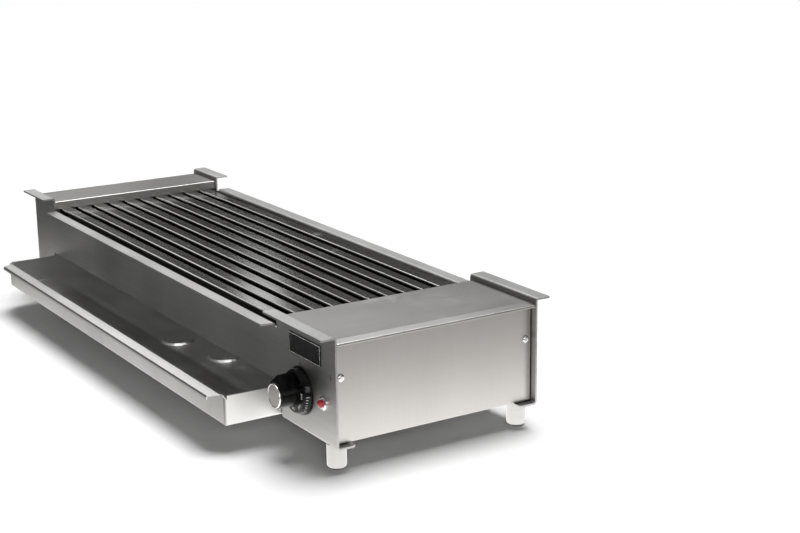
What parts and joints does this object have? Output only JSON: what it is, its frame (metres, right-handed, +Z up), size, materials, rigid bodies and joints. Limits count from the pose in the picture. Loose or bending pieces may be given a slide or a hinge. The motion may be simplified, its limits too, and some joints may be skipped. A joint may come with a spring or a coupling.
{
  "type": "electric skewer grill",
  "caption": "Long low table grill of folded stainless steel: flat bars over heating tubes, raised ends, pull-out drip tray, heat knob and signal lamp on the front.",
  "frame": {"origin": "on the ground under the centre of the object's outline as modelled, with the drip tray standing 64 mm out: 30.75 mm in front of the body's own middle plane", "axes": "+X along the body towards the control end, +Y towards the back, away from the knob and the tray's lip, +Z up"},
  "size_m": [0.82, 0.3326, 0.1406],
  "materials": {
    "sheet_steel": "fine brushed",
    "bar_steel": "smooth bright",
    "tray_steel": "smooth bright",
    "element_sheath": "heat-darkened sheath",
    "fastener_steel": "turned",
    "foot_steel": "turned",
    "rubber": "matt",
    "knob_plastic": "satin",
    "cap_aluminium": "spun",
    "bezel_chrome": "polished",
    "lens_red": "clear red",
    "plate_black": "satin black",
    "regulator_plastic": "moulded",
    "block_ivory": "moulded",
    "gland_plastic": "moulded"
  },
  "bodies": {
    "body": {"front_side_plate": "sheet_steel", "back_side_plate": "sheet_steel", "control_cover": "sheet_steel", "far_cover": "sheet_steel", "control_end_panel": "sheet_steel", "far_end_panel": "sheet_steel", "control_bulkhead": "sheet_steel", "far_bulkhead": "sheet_steel", "control_base": "sheet_steel", "bar_rest": "sheet_steel", "grill_bar_01": "bar_steel", "grill_bar_02": "bar_steel", "grill_bar_03": "bar_steel", "grill_bar_04": "bar_steel", "grill_bar_05": "bar_steel", "grill_bar_06": "bar_steel", "grill_bar_07": "bar_steel", "grill_bar_08": "bar_steel", "grill_bar_09": "bar_steel", "grill_bar_10": "bar_steel", "heating_element_1": "element_sheath", "heating_element_2": "element_sheath", "heating_element_3": "element_sheath", "heating_element_4": "element_sheath", "heating_element_5": "element_sheath", "bracket_control_front": "sheet_steel", "bracket_control_back": "sheet_steel", "bracket_far_front": "sheet_steel", "bracket_far_back": "sheet_steel", "screw_control_front": "fastener_steel", "screw_control_back": "fastener_steel", "screw_far_front": "fastener_steel", "screw_far_back": "fastener_steel", "regulator_body": "regulator_plastic", "lamp_bezel": "bezel_chrome", "lamp_lens": "lens_red", "lamp_nut": "fastener_steel", "nameplate": "plate_black", "terminal_block": "block_ivory", "cable_gland": "gland_plastic", "gland_nut": "gland_plastic", "foot_control_front": "foot_steel", "foot_control_back": "foot_steel", "foot_far_front": "foot_steel", "foot_far_back": "foot_steel", "pad_control_front": "rubber", "pad_control_back": "rubber", "pad_far_front": "rubber", "pad_far_back": "rubber", "bolt_control_front": "fastener_steel", "bolt_control_back": "fastener_steel", "bolt_far_front": "fastener_steel", "bolt_far_back": "fastener_steel"},
    "tray": {"drip_tray": "tray_steel"},
    "knob": {"regulator_shaft": "fastener_steel", "knob": "knob_plastic", "knob_cap": "cap_aluminium"}
  },
  "joints": [
    {"name": "tray_slide", "type": "slide", "parent": "body", "child": "tray", "axis": [0, -1, 0], "range_m": [-0.064, 0.12]},
    {"name": "knob_turn", "type": "hinge", "parent": "body", "child": "knob", "pos_m": [0.339, -0.08925, 0.0676], "axis": [0, 1, 0], "range_deg": [0, 270]}
  ]
}
